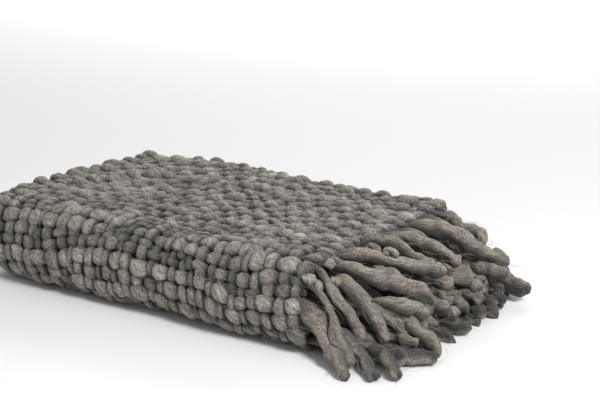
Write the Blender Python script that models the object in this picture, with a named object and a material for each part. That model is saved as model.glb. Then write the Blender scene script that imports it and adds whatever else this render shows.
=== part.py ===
"""A chunky wool throw, folded in half and then in thirds, with locks of fringe at its open end.

The throw is one sheet of plain weave in thick-and-thin roving. Its two fringed ends are brought
together at +X, with the half fold at -X. The doubled cloth is then rolled over twice across its
width: a flap goes in, the bottom layer runs forward on the floor, and the top layer comes back over
one big round fold at the front (-Y). Units are metres, +Z is up and the throw rests on Z = 0.
"""
import math

import bmesh
import bpy
import numpy as np
from mathutils import Vector

# Driving dimensions of the cloth
CLOTH_THICKNESS = 0.0205
STACK_DEPTH = 0.430
STRAIGHT_LENGTH = 0.612
GAP_IN_DOUBLE = 0.002
GAP_BETWEEN_FOLDS = 0.003
FRONT_FOLD_REACH = 0.055
FLAP_EDGE_SETBACK = 0.004
TOP_EDGE_SETBACK = 0.012

# Driving dimensions of the fringe
PART_GAP = 0.0003
STRIP_DEPTH = 0.010
STRIP_THICKNESS = 0.011
LOCK_PITCH = 0.030
LOCK_WIDTH = 0.0195
LOCK_HEIGHT = 0.011
LOCK_LENGTH = 0.128
LOCK_STEPS = 8
LAYER_REST = 0.0125
LENGTH_RANGE = (0.80, 1.12)
WIDTH_RANGE = (0.82, 1.10)
LUMP_SIZE = 0.10
LUMPS_PER_LOCK = 1.1
LUMP_SHIFT = 1.75
TIP_TAPER = 0.6
SLACK_OF_DROP = 1.2
SEEDS = {"outer": 11, "inner": 23}

# How finely the cloth is divided
CELLS_ALONG = 12
BEND_STEPS = 6
CELLS_PER_STRETCH = {"flap": 8, "back": 7, "bottom": 8, "front": 10, "top": 9}

# Worked out from the driving dimensions
SHEET_OFFSET = (CLOTH_THICKNESS + GAP_IN_DOUBLE) / 2
DOUBLE_HALF = SHEET_OFFSET + CLOTH_THICKNESS / 2
STACK_HEIGHT = 6 * DOUBLE_HALF + 2 * GAP_BETWEEN_FOLDS
BACK_RADIUS = DOUBLE_HALF + GAP_BETWEEN_FOLDS / 2
BACK_CENTRE = STACK_DEPTH / 2 - BACK_RADIUS - DOUBLE_HALF
FRONT_RISE = STACK_HEIGHT / 2 - DOUBLE_HALF
FRONT_BULGE = FRONT_FOLD_REACH - DOUBLE_HALF
FRONT_CENTRE = -STACK_DEPTH / 2 + FRONT_FOLD_REACH
FLAP_EDGE = FRONT_CENTRE + FLAP_EDGE_SETBACK
TOP_EDGE = STACK_DEPTH / 2 - TOP_EDGE_SETBACK
BOTTOM_HEIGHT = DOUBLE_HALF
FLAP_HEIGHT = DOUBLE_HALF + 2 * BACK_RADIUS
TOP_HEIGHT = STACK_HEIGHT - DOUBLE_HALF
OPEN_END = STRAIGHT_LENGTH / 2
STRETCHES = tuple(CELLS_PER_STRETCH)

# Layers of fringe from the floor up: where each one's tips come to rest
FLOOR_REST = LOCK_HEIGHT / 2
REST_LEVEL = {
    ("outer", "bottom"): 0,
    ("inner", "bottom"): 1,
    ("inner", "flap"): 2,
    ("outer", "flap"): 3,
    ("inner", "top"): 4,
    ("outer", "top"): 5,
}

# How far out along X a lock of the flat layers has come down to its rest, and one of the top layer
LAND = 0.095
LAND_ON_TOP = 0.125
# Locks that start round a fold: how far their tips spread past the fold's centre line, the shares of
# the fold, from below, up to which they reach all the way down and from which they lie on top, and
# how far out the lowest and the highest have come down
SLUMP = {
    ("outer", "front"): {"spread": 0.080, "grounded": 0.45, "topped": 0.88, "first": 0.035, "last": 0.125},
    ("inner", "front"): {"spread": 0.034, "grounded": 0.35, "topped": 0.85, "first": 0.030, "last": 0.100},
    ("outer", "back"): {"spread": 0.050, "grounded": 0.40, "topped": 0.80, "first": 0.050, "last": 0.110},
    ("inner", "back"): {"spread": 0.018, "grounded": 0.20, "topped": 0.75, "first": 0.040, "last": 0.105},
}
# All the locks lean and bend together, like combed hair
LEAN_SIZE = 0.010
LEAN_WAVE = 0.31
LEAN_PHASE = 1.0
LEAN_JITTER = 0.001
SWAY_SIZE = 0.003
SWAY_WAVE = 0.10
SPREAD_REACH = 0.105

# Soft waves that leave the stack uneven: wavelength along X and Y, phase, and size
HEIGHT_WAVES = (
    {"x": 0.47, "y": 0.61, "phase": 0.6, "size": 0.020},
    {"x": -0.29, "y": 0.38, "phase": 2.1, "size": 0.014},
    {"x": 0.21, "y": -0.33, "phase": 4.0, "size": 0.010},
)
FRONT_WAVES = (
    {"x": 0.36, "z": 0.50, "phase": 0.9, "size": 0.0035},
    {"x": -0.19, "z": 0.31, "phase": 3.2, "size": 0.0020},
)
# How far the ends slant, because the layers don't lie quite square on each other
END_SLANT_Y = 0.022
END_SLANT_Z = -0.045

WOOL_COLOUR = (0.25, 0.235, 0.215, 1.0)


def ease(share):
    """Smooth step from 0 to 1."""
    share = min(max(share, 0.0), 1.0)
    return share * share * (3 - 2 * share)


def waves(rows, **place):
    """Add up the soft waves of one table at a place."""
    total = 0.0
    for row in rows:
        turns = sum(place[axis] / row[axis] for axis in place)
        total += row["size"] * math.sin(2 * math.pi * turns + row["phase"])
    return total


def settle(point):
    """Leave the stack as uneven as soft cloth, with its underside still flat on the floor."""
    x, y, z = point
    return Vector((
        x + END_SLANT_Y * y + END_SLANT_Z * z,
        y + waves(FRONT_WAVES, x=x, z=z),
        z * (1 + waves(HEIGHT_WAVES, x=x, y=y)),
    ))


def fold_point(place):
    """Return the middle of the doubled cloth and its outward normal, as (y, z) pairs.

    The whole number of place is the stretch and the rest is how far along that stretch it lies.
    """
    index = min(int(place), len(STRETCHES) - 1)
    share = place - index
    stretch = STRETCHES[index]
    angle = math.pi * share
    if stretch == "flap":
        return (FLAP_EDGE + share * (BACK_CENTRE - FLAP_EDGE), FLAP_HEIGHT), (0, 1)
    if stretch == "back":
        out = (math.sin(angle), math.cos(angle))
        middle = (BOTTOM_HEIGHT + FLAP_HEIGHT) / 2
        return (BACK_CENTRE + BACK_RADIUS * out[0], middle + BACK_RADIUS * out[1]), out
    if stretch == "bottom":
        return (BACK_CENTRE + share * (FRONT_CENTRE - BACK_CENTRE), BOTTOM_HEIGHT), (0, -1)
    if stretch == "front":
        y = FRONT_CENTRE - FRONT_BULGE * math.sin(angle)
        z = STACK_HEIGHT / 2 - FRONT_RISE * math.cos(angle)
        slope = (-math.sin(angle) / FRONT_BULGE, -math.cos(angle) / FRONT_RISE)
        size = math.hypot(*slope)
        return (y, z), (slope[0] / size, slope[1] / size)
    return (FRONT_CENTRE + share * (TOP_EDGE - FRONT_CENTRE), TOP_HEIGHT), (0, 1)


def offset_point(place, offset):
    """Return a point in the Y-Z plane at a distance from the middle of the doubled cloth."""
    middle, out = fold_point(place)
    return middle[0] + offset * out[0], middle[1] + offset * out[1]


def tube_mesh(sections):
    """Close a run of ring sections into one solid: a grid is wrapped round and its ends are filled."""
    around = len(sections[0])
    bm = bmesh.new()
    bmesh.ops.create_grid(bm, x_segments=around, y_segments=len(sections) - 1)
    bm.verts.ensure_lookup_table()
    bm.faces.ensure_lookup_table()
    for row, section in enumerate(sections):
        for column in range(around + 1):
            bm.verts[row * (around + 1) + column].co = section[column % around]
    return bm


def close_tube(bm):
    """Join the seam of a wrapped grid and fill its two ends."""
    bmesh.ops.remove_doubles(bm, verts=bm.verts, dist=1e-6)
    bmesh.ops.holes_fill(bm, edges=bm.edges, sides=0)


def add_object(bm, name, material, collection):
    """Settle a finished mesh and add it to the collection as one named object."""
    for vert in bm.verts:
        vert.co = settle(vert.co)
    bmesh.ops.recalc_face_normals(bm, faces=bm.faces)
    mesh = bpy.data.meshes.new(name)
    bm.to_mesh(mesh)
    bm.free()
    mesh.materials.append(material)
    piece = bpy.data.objects.new(name, mesh)
    collection.objects.link(piece)
    return piece


def doubled_profile():
    """Return the outline of the cloth folded in half, as (x, offset) pairs: a long thin U."""
    along = [OPEN_END - STRAIGHT_LENGTH * k / CELLS_ALONG for k in range(CELLS_ALONG + 1)]
    bend = [math.pi / 2 - math.pi * k / BEND_STEPS for k in range(1, BEND_STEPS)]
    outside = [(x, DOUBLE_HALF) for x in along]
    outside += [(along[-1] - DOUBLE_HALF * math.cos(a), DOUBLE_HALF * math.sin(a)) for a in bend]
    outside += [(x, -DOUBLE_HALF) for x in reversed(along)]
    inside = [(x, -GAP_IN_DOUBLE / 2) for x in along]
    inside += [(along[-1] - GAP_IN_DOUBLE / 2, 0.0)]
    inside += [(x, GAP_IN_DOUBLE / 2) for x in reversed(along)]
    return outside + inside


def make_cloth(material, collection):
    """Sweep the doubled cloth round both folds: one closed back-and-forth section of its layers."""
    places = []
    for index, stretch in enumerate(STRETCHES):
        cells = CELLS_PER_STRETCH[stretch]
        places += [index + k / cells for k in range(cells)]
    places.append(float(len(STRETCHES)))
    profile = doubled_profile()
    sections = []
    for place in places:
        sections.append([Vector((x, *offset_point(place, offset))) for x, offset in profile])
    bm = tube_mesh(sections)
    close_tube(bm)
    return add_object(bm, "blanket", material, collection)


def even_places(offset, pitch):
    """Return the places of evenly spaced locks along one layer of the folded cloth."""
    fine = np.linspace(0, len(STRETCHES), 60 * len(STRETCHES) + 1)
    points = np.array([offset_point(place, offset) for place in fine])
    length = np.concatenate(([0], np.cumsum(np.linalg.norm(np.diff(points, axis=0), axis=1))))
    count = int((length[-1] - pitch) / pitch)
    centres = (length[-1] - (count - 1) * pitch) / 2 + pitch * np.arange(count)
    return centres, lambda where: float(np.interp(where, length, fine))


def tip_rest(side, place, root):
    """Return where a lock's tip comes to rest in the Y-Z plane, and how soon it lands."""
    index = min(int(place), len(STRETCHES) - 1)
    stretch = STRETCHES[index]
    share = place - index
    if (side, stretch) in REST_LEVEL:
        level = REST_LEVEL[side, stretch]
        land = LAND_ON_TOP if level == max(REST_LEVEL.values()) else LAND
        return root[0], FLOOR_REST + level * LAYER_REST, land
    slump = SLUMP[side, stretch]
    centre, below, above = (FRONT_CENTRE, "bottom", "top")
    outward = -1
    if stretch == "back":
        centre, below, above = (BACK_CENTRE, "bottom", "flap")
        outward = 1
        share = 1 - share
    low = REST_LEVEL[side, below]
    high = REST_LEVEL[side, above]
    rise = (share - slump["grounded"]) / (slump["topped"] - slump["grounded"])
    level = low + (high - low) * min(max(rise, 0.0), 1.0)
    bulge = 2 * share if share < 0.5 else math.sin(math.pi * share) ** 0.8
    land = slump["first"] + share * (slump["last"] - slump["first"])
    return centre + outward * slump["spread"] * bulge, FLOOR_REST + level * LAYER_REST, land


def lock_rings(side, place, rng):
    """Return the four-sided rings of one lock from just past its root to its rounded tip."""
    offset = SHEET_OFFSET if side == "outer" else -SHEET_OFFSET
    root = offset_point(place, offset)
    out = fold_point(place)[1]
    tip_y, tip_z, land = tip_rest(side, place, root)
    start = OPEN_END + PART_GAP + STRIP_DEPTH
    lean = LEAN_SIZE * math.sin(2 * math.pi * root[0] / LEAN_WAVE + LEAN_PHASE)
    lean += rng.uniform(-LEAN_JITTER, LEAN_JITTER)
    length = LOCK_LENGTH * rng.uniform(*LENGTH_RANGE)
    width = LOCK_WIDTH * rng.uniform(*WIDTH_RANGE)
    drop = root[1] - tip_z
    reach = math.sqrt(length ** 2 - SLACK_OF_DROP * drop ** 2 - (tip_y + lean - root[0]) ** 2)
    upright = -1 if out[1] < 0 else 1
    centres = []
    for step in range(LOCK_STEPS + 1):
        gone = reach * step / LOCK_STEPS
        spread = ease(gone / SPREAD_REACH)
        sway = SWAY_SIZE * math.sin(2 * math.pi * (gone / SWAY_WAVE + root[0] / LEAN_WAVE)) * spread
        y = root[0] + (tip_y + lean - root[0]) * spread + sway
        z = root[1] - drop * ease(gone / land)
        centres.append(Vector((start + gone, y, z)))
    rings = []
    for step in range(1, LOCK_STEPS + 1):
        share = step / LOCK_STEPS
        before = centres[step - 1]
        after = centres[min(step + 1, LOCK_STEPS)]
        along = (after - before).normalized()
        turn = ease(2 * share)
        up = Vector((0, (1 - turn) * out[0], (1 - turn) * out[1] + turn * upright))
        up = (up - along * up.dot(along)).normalized()
        across = up.cross(along)
        lump = 1 + LUMP_SIZE * math.sin(2 * math.pi * (LUMPS_PER_LOCK * share + LUMP_SHIFT * place))
        taper = TIP_TAPER if step == LOCK_STEPS else 1.0
        half_width = width / 2 * lump * taper
        half_height = LOCK_HEIGHT / 2 * taper
        across *= half_width
        up *= half_height
        centre = centres[step] - Vector((0, 0, LOCK_HEIGHT / 2 - half_height))
        centre.z = max(centre.z, abs(across.z) + abs(up.z))
        rings.append((centre, across, up))
    return width, rings


def make_fringe(side, material, collection):
    """Make one fringed end: a narrow strip along the cloth's edge, and locks drawn out of it."""
    rng = np.random.default_rng(SEEDS[side])
    offset = SHEET_OFFSET if side == "outer" else -SHEET_OFFSET
    centres, place_at = even_places(offset, LOCK_PITCH)
    locks = [lock_rings(side, place_at(centre), rng) for centre in centres]
    near, far = OPEN_END + PART_GAP, OPEN_END + PART_GAP + STRIP_DEPTH
    edges = [centres[0] - LOCK_PITCH / 2]
    for centre, (width, _) in zip(centres, locks):
        edges += [centre - width / 2, centre + width / 2]
    edges.append(centres[-1] + LOCK_PITCH / 2)
    low, high = offset - STRIP_THICKNESS / 2, offset + STRIP_THICKNESS / 2
    sections = []
    for edge in edges:
        place = place_at(edge)
        corners = ((near, low), (far, low), (far, high), (near, high))
        sections.append([Vector((x, *offset_point(place, height))) for x, height in corners])
    bm = tube_mesh(sections)
    roots = [bm.faces[(1 + 2 * number) * 4 + 1] for number in range(len(locks))]
    close_tube(bm)
    for centre, root, (_, rings) in zip(centres, roots, locks):
        draw_out(bm, root, rings, place_at(centre), offset)
    return add_object(bm, f"fringe_{side}", material, collection)


def draw_out(bm, face, rings, place, offset):
    """Extrude one lock from its root face, ring by ring."""
    out = Vector((0, *fold_point(place)[1]))
    tangent = Vector((0, out.z, -out.y))
    middle = face.calc_center_median()
    corners = []
    for vert in face.verts:
        arm = vert.co - middle
        corners.append((math.copysign(1, arm.dot(tangent)), math.copysign(1, arm.dot(out))))
    handed = math.copysign(1, out.cross(Vector((1, 0, 0))).dot(tangent))
    for centre, across, up in rings:
        face = bmesh.ops.extrude_discrete_faces(bm, faces=[face])["faces"][0]
        for vert, (side_sign, up_sign) in zip(face.verts, corners):
            vert.co = centre + across * side_sign * handed + up * up_sign


def wool_material():
    """Felted wool roving: matt and undyed grey-brown."""
    material = bpy.data.materials.new("wool roving")
    material.use_nodes = True
    shader = material.node_tree.nodes["Principled BSDF"]
    shader.inputs["Base Color"].default_value = WOOL_COLOUR
    shader.inputs["Roughness"].default_value = 0.9
    shader.inputs["Metallic"].default_value = 0.0
    return material


def centre_on_floor(pieces):
    """Put the origin under the middle of the whole throw."""
    corners = [piece.matrix_world @ Vector(corner) for piece in pieces for corner in piece.bound_box]
    shift_x = -(min(c.x for c in corners) + max(c.x for c in corners)) / 2
    shift_y = -(min(c.y for c in corners) + max(c.y for c in corners)) / 2
    for piece in pieces:
        piece.location = (shift_x, shift_y, 0.0)


def main():
    for old in list(bpy.data.objects):
        bpy.data.objects.remove(old, do_unlink=True)
    collection = bpy.data.collections.new("throw")
    bpy.context.scene.collection.children.link(collection)
    wool = wool_material()
    pieces = [
        make_cloth(wool, collection),
        make_fringe("outer", wool, collection),
        make_fringe("inner", wool, collection),
    ]
    bpy.context.view_layer.update()
    centre_on_floor(pieces)


main()
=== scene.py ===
"""The looks of a chunky wool throw, folded in half and then in thirds, with locks of fringe.

The throw is plain weave in thick-and-thin felted roving. Every warp and weft yarn is a swept tube on
the folds of the cloth, and every lock of the fringe is one on its own droop. Units are metres.
"""

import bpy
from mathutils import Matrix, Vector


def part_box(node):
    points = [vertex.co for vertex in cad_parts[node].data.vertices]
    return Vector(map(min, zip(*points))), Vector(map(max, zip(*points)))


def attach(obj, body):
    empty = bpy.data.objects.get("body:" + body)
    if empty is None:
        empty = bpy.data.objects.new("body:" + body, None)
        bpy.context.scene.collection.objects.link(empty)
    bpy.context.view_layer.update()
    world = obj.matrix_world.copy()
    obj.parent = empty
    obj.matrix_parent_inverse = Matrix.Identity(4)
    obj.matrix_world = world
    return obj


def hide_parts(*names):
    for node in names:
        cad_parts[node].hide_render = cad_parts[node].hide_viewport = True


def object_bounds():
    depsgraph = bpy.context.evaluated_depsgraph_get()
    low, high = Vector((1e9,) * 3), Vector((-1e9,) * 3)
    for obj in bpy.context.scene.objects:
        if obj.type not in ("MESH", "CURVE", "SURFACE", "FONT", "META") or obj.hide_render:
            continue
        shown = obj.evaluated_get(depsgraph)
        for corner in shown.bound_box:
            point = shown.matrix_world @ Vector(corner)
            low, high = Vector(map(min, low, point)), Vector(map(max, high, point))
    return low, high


bl_info = {
    "name": "Chunky wool throw",
    "version": (1, 0, 0),
    "blender": (4, 5, 0),
    "location": "3D View > Sidebar > Wool throw",
    "description": "Makes a folded chunky plain-weave wool throw with a fringe",
    "category": "Object",
}

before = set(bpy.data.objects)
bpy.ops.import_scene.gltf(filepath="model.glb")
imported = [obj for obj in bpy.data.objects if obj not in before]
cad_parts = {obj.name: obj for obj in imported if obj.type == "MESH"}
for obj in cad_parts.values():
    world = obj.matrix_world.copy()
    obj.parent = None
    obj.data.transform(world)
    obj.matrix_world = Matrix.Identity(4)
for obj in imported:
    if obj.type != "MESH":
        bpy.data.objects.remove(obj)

import math

import bmesh
import bpy
import numpy as np
from bpy.props import FloatProperty, FloatVectorProperty, IntProperty, PointerProperty, StringProperty
from bpy.types import Operator, Panel, PropertyGroup
from mathutils import Vector

CAD_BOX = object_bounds()
CLOTH_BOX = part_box("blanket")

# The folded cloth, in the same sizes as its solid
CLOTH_THICKNESS = 0.0205
STACK_DEPTH = 0.430
STRAIGHT_LENGTH = 0.612
GAP_IN_DOUBLE = 0.002
GAP_BETWEEN_FOLDS = 0.003
FRONT_FOLD_REACH = 0.055
FLAP_EDGE_SETBACK = 0.004
TOP_EDGE_SETBACK = 0.012
SHEET_OFFSET = (CLOTH_THICKNESS + GAP_IN_DOUBLE) / 2
DOUBLE_HALF = SHEET_OFFSET + CLOTH_THICKNESS / 2
STACK_HEIGHT = 6 * DOUBLE_HALF + 2 * GAP_BETWEEN_FOLDS
BACK_RADIUS = DOUBLE_HALF + GAP_BETWEEN_FOLDS / 2
BACK_CENTRE = STACK_DEPTH / 2 - BACK_RADIUS - DOUBLE_HALF
FRONT_RISE = STACK_HEIGHT / 2 - DOUBLE_HALF
FRONT_BULGE = FRONT_FOLD_REACH - DOUBLE_HALF
FRONT_CENTRE = -STACK_DEPTH / 2 + FRONT_FOLD_REACH
FLAP_EDGE = FRONT_CENTRE + FLAP_EDGE_SETBACK
TOP_EDGE = STACK_DEPTH / 2 - TOP_EDGE_SETBACK
FLAP_HEIGHT = DOUBLE_HALF + 2 * BACK_RADIUS
TOP_HEIGHT = STACK_HEIGHT - DOUBLE_HALF
OPEN_END = STRAIGHT_LENGTH / 2
STRETCHES = ("flap", "back", "bottom", "front", "top")
BEND_LENGTH = math.pi * SHEET_OFFSET
CLOTH_LENGTH = 2 * STRAIGHT_LENGTH + BEND_LENGTH
CLOTH_WIDTH = 1.218

# Soft waves that leave the stack uneven, and the slant of its ends, as in its solid
HEIGHT_WAVES = (
    {"x": 0.47, "y": 0.61, "phase": 0.6, "size": 0.020},
    {"x": -0.29, "y": 0.38, "phase": 2.1, "size": 0.014},
    {"x": 0.21, "y": -0.33, "phase": 4.0, "size": 0.010},
)
FRONT_WAVES = (
    {"x": 0.36, "z": 0.50, "phase": 0.9, "size": 0.0035},
    {"x": -0.19, "z": 0.31, "phase": 3.2, "size": 0.0020},
)
END_SLANT_Y = 0.022
END_SLANT_Z = -0.045

# The locks of fringe, in the same sizes as their solids
STRIP_DEPTH = 0.010
PART_GAP = 0.0003
LOCK_PITCH = 0.030
LOCK_WIDTH = 0.0195
LOCK_HEIGHT = 0.011
LOCK_LENGTH = 0.128
LAYER_REST = 0.0125
LENGTH_RANGE = (0.80, 1.12)
WIDTH_RANGE = (0.82, 1.10)
SLACK_OF_DROP = 1.2
SEEDS = {"outer": 11, "inner": 23}
FLOOR_REST = LOCK_HEIGHT / 2
REST_LEVEL = {
    ("outer", "bottom"): 0,
    ("inner", "bottom"): 1,
    ("inner", "flap"): 2,
    ("outer", "flap"): 3,
    ("inner", "top"): 4,
    ("outer", "top"): 5,
}
TOP_LEVEL = max(REST_LEVEL.values())
LAND = 0.095
LAND_ON_TOP = 0.125
SLUMP = {
    ("outer", "front"): {"spread": 0.080, "grounded": 0.45, "topped": 0.88, "first": 0.035, "last": 0.125},
    ("inner", "front"): {"spread": 0.034, "grounded": 0.35, "topped": 0.85, "first": 0.030, "last": 0.100},
    ("outer", "back"): {"spread": 0.050, "grounded": 0.40, "topped": 0.80, "first": 0.050, "last": 0.110},
    ("inner", "back"): {"spread": 0.018, "grounded": 0.20, "topped": 0.75, "first": 0.040, "last": 0.105},
}
LEAN_SIZE = 0.010
LEAN_WAVE = 0.31
LEAN_PHASE = 1.0
LEAN_JITTER = 0.001
SWAY_SIZE = 0.003
SWAY_WAVE = 0.10
SPREAD_REACH = 0.105

# Soft troughs and ridges pressed into the top and the front fold: middle, length, width, depth, turn
CREASES = (
    {"x": 0.235, "y": -0.085, "length": 0.17, "width": 0.050, "depth": 0.0040, "turn": 32},
    {"x": 0.150, "y": 0.060, "length": 0.24, "width": 0.060, "depth": -0.0035, "turn": 20},
    {"x": 0.020, "y": -0.110, "length": 0.20, "width": 0.055, "depth": 0.0045, "turn": -14},
    {"x": -0.130, "y": 0.030, "length": 0.26, "width": 0.070, "depth": 0.0035, "turn": 28},
    {"x": 0.245, "y": 0.150, "length": 0.15, "width": 0.050, "depth": 0.0035, "turn": -35},
    {"x": -0.230, "y": -0.120, "length": 0.18, "width": 0.060, "depth": -0.0030, "turn": 8},
)
CREASE_FOOT = 0.060

# Plump locks pile up higher at their tips than the solid's, and stray a little from its order
PILE_UP = 0.016
STRAY_LENGTH = 0.05
STRAY_ASIDE = 0.005
STRAY_DROP = 0.014

# Locks that show one by one, by their end and number: a shoulder, a belly and a tip, as distances past
# the cloth's end, across it and up, and the lock's width at each of the three
PLACED_LOCKS = {
    "outer": {
        25: ((0.070, -0.170, 0.030), (0.125, -0.158, 0.019), (0.171, -0.125, 0.009), (0.020, 0.023, 0.014)),
        26: ((0.050, -0.178, 0.038), (0.092, -0.192, 0.016), (0.131, -0.232, 0.008), (0.018, 0.017, 0.017)),
        27: ((0.018, -0.198, 0.060), (0.046, -0.203, 0.028), (0.098, -0.248, 0.006), (0.031, 0.023, 0.011)),
        28: ((0.036, -0.196, 0.090), (0.057, -0.197, 0.038), (0.084, -0.213, 0.009), (0.011, 0.017, 0.017)),
        29: ((0.046, -0.186, 0.096), (0.066, -0.166, 0.050), (0.076, -0.172, 0.018), (0.014, 0.021, 0.017)),
        30: ((0.043, -0.152, 0.129), (0.083, -0.116, 0.111), (0.123, -0.063, 0.083), (0.027, 0.029, 0.025)),
        31: ((0.032, -0.102, 0.131), (0.074, -0.060, 0.118), (0.120, -0.006, 0.097), (0.024, 0.024, 0.021)),
        33: ((0.014, -0.047, 0.136), (0.040, -0.030, 0.129), (0.112, -0.018, 0.102), (0.017, 0.019, 0.018)),
        35: ((0.032, 0.002, 0.131), (0.068, 0.028, 0.117), (0.118, 0.040, 0.094), (0.014, 0.019, 0.018)),
        37: ((0.032, 0.066, 0.130), (0.072, 0.092, 0.114), (0.120, 0.108, 0.088), (0.021, 0.024, 0.021)),
    },
    "inner": {
        23: ((0.049, -0.145, 0.047), (0.105, -0.172, 0.021), (0.156, -0.208, 0.009), (0.018, 0.019, 0.019)),
        24: ((0.060, -0.158, 0.083), (0.103, -0.128, 0.058), (0.123, -0.133, 0.030), (0.020, 0.022, 0.019)),
        25: ((0.060, -0.172, 0.112), (0.085, -0.158, 0.072), (0.112, -0.163, 0.034), (0.022, 0.022, 0.018)),
        26: ((0.062, -0.126, 0.074), (0.112, -0.130, 0.082), (0.134, -0.088, 0.060), (0.018, 0.022, 0.018)),
        27: ((0.088, -0.118, 0.066), (0.134, -0.118, 0.046), (0.170, -0.116, 0.011), (0.020, 0.023, 0.014)),
    },
}

# Their curves start at two points this far past the cloth's end, and run on by this power of the distance
# from point to point. They are neither the palest nor the darkest, and stray and swell by this share of
# what the others do
PLACED_ROOT = (-0.012, 0.004)
PLACED_POWER = 0.7
PLACED_TONES = (0.46, 0.60)
PLACED_FREEDOM = 0.6

# A lock starts this far inside the cloth, as a share of its length, and its rings crowd at the tip
LOCK_INSIDE = 0.10
RING_CROWDING = 1.4
# Its width grows from this share at the root to the whole over this share of its length, and its tip is
# rounded over this share of its width, up to a last ring that stays open
ROOT_WIDTH = 0.62
ROOT_REACH = 0.25
TIP_ROUND = 0.48
TIP_END = 0.98
# Limits of the noise by which it thins and swells
SWELL_LIMITS = (-1.6, 2.0)
# Its height is the first number plus this share of its width
LOCK_FLATNESS = (0.0035, 0.34)
# Its strands make lobes round it: how many, how high, and how they wind against its twist
LOCK_LOBES = ((2, 0.09, 1.0), (3, 0.07, 1.4))
# It wavers in two waves this long, by this much of the set length and up to this much more, by this share
# of it up and down, and grows to that over this share of its length
WAVER_WAVES = (0.050, 0.080)
WAVER_SPREAD = (0.7, 0.6)
WAVER_UP = 0.6
WAVER_REACH = 0.3
# How light reaches it: the least at its underside, what its sides take and how much more its top does,
# the least at its root and over which share of its length it comes out of the shade. Knots are alike
UNDERSIDE_LIGHT = 0.05
SIDE_LIGHT = (0.33, 0.78)
ROOT_LIGHT = 0.35
ROOT_LIGHT_REACH = 0.35
KNOT_LIGHT = 0.4
KNOT_SIDE_LIGHT = (0.5, 0.7)
KNOT_TONE = 0.6
# Rings along a lock and a knot, and points round each ring
LOCK_RINGS = (40, 18)
KNOT_RINGS = (26, 14)

# Knots and curled ends at the locks' roots: middle past the end, across and up, the curl's size, how far
# it turns each way, which way it heads, and its thickness
ROOT_KNOTS = (
    {"middle": (0.040, -0.079, 0.131), "size": 0.0105, "turn": 95, "heading": 5, "thick": 0.0090},
    {"middle": (0.067, -0.074, 0.134), "size": 0.0072, "turn": 120, "heading": 34, "thick": 0.0115},
    {"middle": (0.044, -0.180, 0.107), "size": 0.0085, "turn": 52, "heading": 20, "thick": 0.0140},
    {"middle": (0.017, -0.190, 0.099), "size": 0.0095, "turn": 85, "heading": -45, "thick": 0.0120},
    {"middle": (0.006, -0.194, 0.106), "size": 0.0080, "turn": 60, "heading": 30, "thick": 0.0180},
    {"middle": (0.024, -0.168, 0.126), "size": 0.0080, "turn": 50, "heading": 50, "thick": 0.0170},
)

# Where the photograph was taken from, measured from the middle of the cloth's stack, and its lens
CAMERA_PLACE = (1.327, -1.725, 0.753)
CAMERA_YAW = 34.1
CAMERA_PITCH = 15.88
CAMERA_LENS = 84.0
CAMERA_SENSOR = 36.0
# The even white light all round, the two soft lamps and the floor
ROOM_LIGHT = 0.51
LAMPS = (
    {"name": "window", "place": (2.2, -1.0, 1.95), "aim": (0.2, 0.0, 0.0), "size": 0.75, "power": 90.0},
    {"name": "backdrop", "place": (-2.0, 5.0, 3.0), "aim": (-2.2, 5.2, 0.0), "size": 3.0, "power": 240.0},
)
FLOOR_HALF = 9.0
FLOOR_BELOW = 0.0004

# How far a yarn's pitch and thickness may stray from their means, how a slub fades along a yarn, and how
# its width and height follow its thickness
PITCH_LIMITS = (0.55, 1.6)
SIZE_LIMITS = (0.5, 1.55)
SLUB_RUN = (0.10, 0.45, 1.0, 0.45, 0.10)
WIDTH_POWER = 0.35
HEIGHT_POWER = 0.8
# Rounds in which the yarns find their places side by side, and how far they move in each
RELAX_ROUNDS = 90
RELAX_PULL = 0.25
RELAX_SMOOTHING = 0.12
# The last stretch of a warp over which its end is rounded, and how far the yarns run past the cloth's edges
END_ROUNDING = 0.007
WARP_PAST_END = 0.002
WEFT_PAST_EDGE = 0.004
# Steps between two crossings and points round each ring, for the yarns that show and those that don't
YARN_RINGS = {"shown": (7, 12), "under": (4, 9), "inside": (3, 5)}
# A yarn's shade: the mean one, how far one yarn's lies from it, and how far it drifts in a step
TONE_MIDDLE = 0.49
TONE_SPREAD = 0.04
TONE_DRIFT = 0.008
# Where the weft lies slack on top, it is broader and higher and the warp is narrower and lower
SLACK_CHANGE = {"warp_wide": -0.4, "weft_wide": 0.7, "warp_high": -0.5, "weft_high": 0.75}
# The leap from one tube to the next counts as this much at most in the UV map
LEAP_LIMIT = 0.05
# Fibres drift round a yarn or a lock by this share of the way that they run along it
YARN_TWIST = 0.50
LOCK_TWIST = 0.20
# Heights off the cloth's middle between which wool comes out of the crevices' shade
CREVICE = (0.0040, 0.0132)
# The yarns' turns at the selvedges stand in the light as well, this far in and by this share
EDGE_DEPTH = 0.014
EDGE_LIGHT = 0.85
# On top, where the wool is more matted, the painted crevice shade is paler by this share
TOP_SHADE_PALER = 0.20
# The slack floats on top lean over by this much more than those on the fold
TOP_SLANT = 3.5
# Loose fibres: how far they may stray past the solids' box, lie off the floor and rise, the shares of their
# length by which they bow, curl and start inside the wool, the share of half a wave that the bow takes, how
# much thinner they are at the tip, and the points along each one
FIBRE_STRAY = 0.012
FIBRE_FLOOR = 0.0006
FIBRE_RISE = 0.004
FIBRE_BOW = (0.12, 0.45)
FIBRE_CURL = 0.45
FIBRE_INSIDE = 0.04
FIBRE_ARCH = 0.8
FIBRE_TAPER = 0.5
FIBRE_POINTS = 6
# The thin sheet in the middle of the cloth, painted dark as the shade in the gaps between the yarns: cells,
# looks, distance from the edges, height and thickness
MIDDLE_CELLS = (90, 56)
MIDDLE_LOOKS = (("tone", 0.3), ("painted_light", 0.1))
MIDDLE_SETBACK = (0.004, 0.006)
MIDDLE_HEIGHT = -0.002
MIDDLE_THICKNESS = 0.004


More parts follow.
